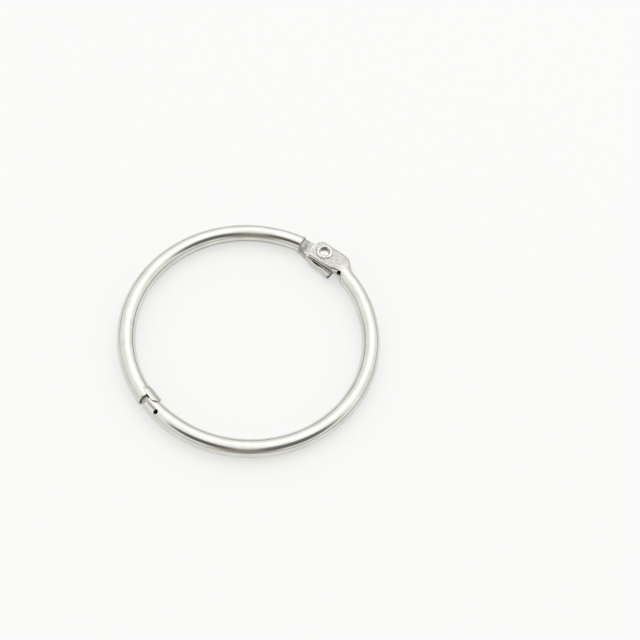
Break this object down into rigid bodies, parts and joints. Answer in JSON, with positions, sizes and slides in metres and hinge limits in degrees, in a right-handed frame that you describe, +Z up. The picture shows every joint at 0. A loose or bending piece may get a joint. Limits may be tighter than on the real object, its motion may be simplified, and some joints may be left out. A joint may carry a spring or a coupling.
{
  "type": "binder ring",
  "caption": "Hinged loose-leaf binder ring: two rolled steel half rings on a semi-tubular rivet, closed by a tapered nib in an open socket.",
  "frame": {"origin": "centre of the closed ring, on the surface it lies on", "axes": "+Z up, square to the ring's plane; the hinge is 59.5 degrees round from +X towards +Y, and the clasp is 165 degrees further round"},
  "size_m": [0.058, 0.058, 0.0043],
  "materials": {
    "plated_steel": "bright nickel plating on rolled steel strip",
    "rivet_steel": "nickel plating, worked to a softer shine where the end is rolled"
  },
  "bodies": {
    "socket_side": {"socket_half": "plated_steel", "hinge_rivet": "rivet_steel"},
    "tongue_side": {"tongue_half": "plated_steel"}
  },
  "joints": [
    {"name": "ring_hinge", "type": "hinge", "parent": "socket_side", "child": "tongue_side", "pos_m": [0.01378, 0.02339, 0.002], "axis": [0, 0, 1], "range_deg": [0, 130]}
  ]
}
